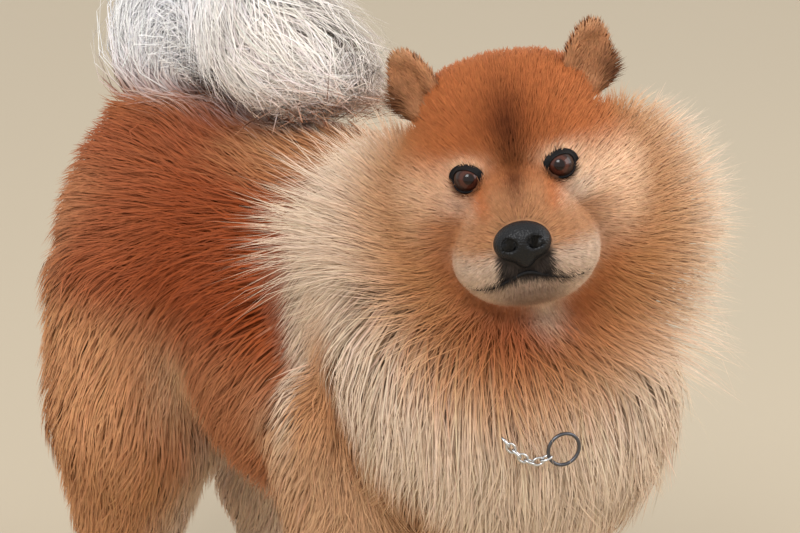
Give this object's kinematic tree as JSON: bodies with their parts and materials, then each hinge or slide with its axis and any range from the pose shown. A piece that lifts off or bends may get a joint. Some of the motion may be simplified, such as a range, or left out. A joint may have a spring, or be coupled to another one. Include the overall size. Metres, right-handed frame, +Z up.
{
  "type": "chow chow model",
  "caption": "Life-size still model of a standing red chow chow, head turned, tail curled over the back, steel chain collar at the breast.",
  "frame": {"origin": "middle of the footprint on the floor, under the centre of the bounding box", "axes": "+Z up, the dog's body faces -Y, its left side is +X"},
  "size_m": [0.38, 0.7346, 0.6842],
  "materials": {
    "face_coat": "short dense red-brown fur",
    "mane": "long tan and cream fur",
    "body_coat": "long mahogany and orange fur",
    "plume": "long cream fur",
    "paw_coat": "short tan fur",
    "nose_leather": "moist, finely pebbled",
    "eye": "wet",
    "steel": "bright",
    "dull_steel": "worn, dark"
  },
  "bodies": {
    "root": {"collar_link_1": "steel", "collar_link_2": "steel", "collar_link_3": "steel", "collar_link_4": "steel", "collar_link_5": "steel", "collar_link_6": "steel", "collar_link_7": "steel", "collar_ring": "dull_steel", "ear_left": "face_coat", "ear_right": "face_coat", "eye_left": "eye", "eye_right": "eye", "foreleg_left_lower": "body_coat", "foreleg_left_upper": "body_coat", "foreleg_right_lower": "body_coat", "foreleg_right_upper": "body_coat", "forepaw_left": "paw_coat", "forepaw_right": "paw_coat", "head": "face_coat", "hindleg_left_lower": "body_coat", "hindleg_left_upper": "body_coat", "hindleg_right_lower": "body_coat", "hindleg_right_upper": "body_coat", "hindpaw_left": "paw_coat", "hindpaw_right": "paw_coat", "neck": "mane", "nose": "nose_leather", "tail": "plume", "torso": "body_coat"}
  },
  "joints": []
}
